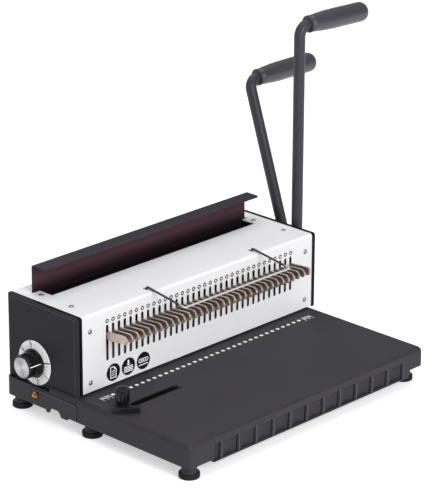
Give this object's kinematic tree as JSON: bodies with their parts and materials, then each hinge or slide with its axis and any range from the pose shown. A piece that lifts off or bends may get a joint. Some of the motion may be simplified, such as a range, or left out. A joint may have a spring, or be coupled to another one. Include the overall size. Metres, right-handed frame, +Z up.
{
  "type": "coil binding machine",
  "caption": "Desktop wire and coil binding machine: lever punch, lever-driven closing press, wire comb, depth dial and side guide on a table.",
  "frame": {"origin": "middle of the underside of the bounding box, on the surface that the feet stand on", "axes": "+X along the machine towards the lever side, +Y from the operator to the rear, +Z up"},
  "size_m": [0.5102, 0.3018, 0.3657],
  "materials": {
    "table_plastic": "fine moulded texture",
    "foot_rubber": "matt",
    "catch_brass": "satin",
    "frame_zinc": "zinc plated",
    "cover_white": "smooth satin powder coat",
    "panel_black": "fine satin powder coat",
    "screw_zinc": "zinc plated",
    "die_steel": "ground",
    "shaft_steel": "turned",
    "bush_bronze": "oiled",
    "spring_steel": "drawn wire",
    "lever_black": "satin powder coat",
    "grip_plastic": "satin",
    "press_black": "semi-gloss",
    "hook_steel": "zinc plated, slightly warm",
    "bail_steel": "bright drawn wire",
    "dial_white": "printed",
    "knob_plastic": "gloss",
    "cap_aluminium": "spun"
  },
  "bodies": {
    "frame": {"base_tray": "table_plastic", "foot_front_left": "foot_rubber", "foot_middle_left": "foot_rubber", "foot_rear_left": "foot_rubber", "foot_front_right": "foot_rubber", "foot_middle_right": "foot_rubber", "foot_rear_right": "foot_rubber", "side_frame_left": "frame_zinc", "side_frame_right": "frame_zinc", "tie_bar": "frame_zinc", "cover": "cover_white", "back_cover": "panel_black", "end_panel_left": "panel_black", "end_panel_right": "panel_black", "cover_screw_front_lower_left": "screw_zinc", "cover_screw_front_upper_left": "screw_zinc", "cover_screw_front_lower_right": "screw_zinc", "cover_screw_front_upper_right": "screw_zinc", "cover_screw_top_front_left": "screw_zinc", "cover_screw_top_rear_left": "screw_zinc", "cover_screw_top_front_right": "screw_zinc", "cover_screw_top_rear_right": "screw_zinc", "die_plate": "die_steel", "guide_plate": "die_steel", "punch_bush_left": "bush_bronze", "punch_bush_right": "bush_bronze", "closing_bush_left": "bush_bronze", "closing_bush_right": "bush_bronze", "punch_spring": "spring_steel", "closing_spring": "spring_steel", "anvil": "press_black", "dial_plate": "dial_white"},
    "chip_tray": {"chip_tray": "table_plastic", "tray_catch": "catch_brass"},
    "punch_lever": {"punch_shaft": "shaft_steel", "punch_cam_left": "shaft_steel", "punch_cam_right": "shaft_steel", "punch_hub": "lever_black", "punch_lever_bar": "lever_black", "punch_grip": "grip_plastic"},
    "punch_beam": {"punch_beam": "frame_zinc", "punch_pins": "die_steel"},
    "closing_lever": {"closing_shaft": "shaft_steel", "closing_pinion_left": "shaft_steel", "closing_pinion_right": "shaft_steel", "closing_hub": "lever_black", "closing_lever_bar": "lever_black", "closing_grip": "grip_plastic"},
    "press": {"press_plate": "press_black", "press_rack_left": "shaft_steel", "press_rack_right": "shaft_steel"},
    "hook_comb": {"hook_comb": "hook_steel"},
    "wire_bail": {"wire_bail": "bail_steel"},
    "dial": {"dial_knob": "knob_plastic", "knob_cap": "cap_aluminium", "dial_shaft": "shaft_steel"},
    "depth_stop": {"depth_stop": "frame_zinc"},
    "guide_bolt": {"guide_bolt": "screw_zinc"},
    "guide_arm": {"guide_arm": "lever_black"},
    "guide_knob": {"guide_knob": "knob_plastic"}
  },
  "joints": [
    {"name": "punch_lever_swing", "type": "hinge", "parent": "frame", "child": "punch_lever", "pos_m": [0.13435, 0.05014, 0.09], "axis": [1, 0, 0], "range_deg": [0, 90], "stiffness_Nm_per_rad": 0.4, "springref_deg": -45.84},
    {"name": "punch_stroke", "type": "slide", "parent": "frame", "child": "punch_beam", "axis": [0, 0, -1], "range_m": [0, 0.01]},
    {"name": "closing_lever_swing", "type": "hinge", "parent": "frame", "child": "closing_lever", "pos_m": [0.14885, 0.08014, 0.094], "axis": [1, 0, 0], "range_deg": [0, 101], "stiffness_Nm_per_rad": 0.3, "springref_deg": -68.75},
    {"name": "press_stroke", "type": "slide", "parent": "frame", "child": "press", "axis": [0, 0, -1], "range_m": [0, 0.0265]},
    {"name": "comb_height", "type": "slide", "parent": "frame", "child": "hook_comb", "axis": [0, 0, 1], "range_m": [-0.022, 0.005]},
    {"name": "bail_lift", "type": "hinge", "parent": "frame", "child": "wire_bail", "pos_m": [-0.04695, 0.02414, 0.1244], "axis": [-1, 0, 0], "range_deg": [0, 45]},
    {"name": "dial_turn", "type": "hinge", "parent": "frame", "child": "dial", "pos_m": [-0.24565, 0.08064, 0.0595], "axis": [1, 0, 0], "range_deg": [0, 270]},
    {"name": "depth_stop_slide", "type": "slide", "parent": "frame", "child": "depth_stop", "axis": [0, -1, 0], "range_m": [0, 0.004]},
    {"name": "guide_slide", "type": "slide", "parent": "frame", "child": "guide_bolt", "axis": [1, 0, 0], "range_m": [-0.005, 0.075]},
    {"name": "guide_swivel", "type": "hinge", "parent": "guide_bolt", "child": "guide_arm", "pos_m": [-0.22315, -0.03786, 0.0431], "axis": [0, 0, 1], "range_deg": [-136, 134]},
    {"name": "guide_knob_turn", "type": "hinge", "parent": "guide_bolt", "child": "guide_knob", "pos_m": [-0.22315, -0.03786, 0.0547], "axis": [0, 0, 1], "range_deg": [0, 360]},
    {"name": "chip_tray_slide", "type": "slide", "parent": "frame", "child": "chip_tray", "axis": [-1, 0, 0], "range_m": [0, 0.25]}
  ],
  "couplings": [
    {"joint": "punch_stroke", "follows": "punch_lever_swing", "m_per_rad": 0.006366},
    {"joint": "press_stroke", "follows": "closing_lever_swing", "m_per_rad": 0.015},
    {"joint": "dial_turn", "follows": "depth_stop_slide", "rad_per_m": 1178.1}
  ]
}
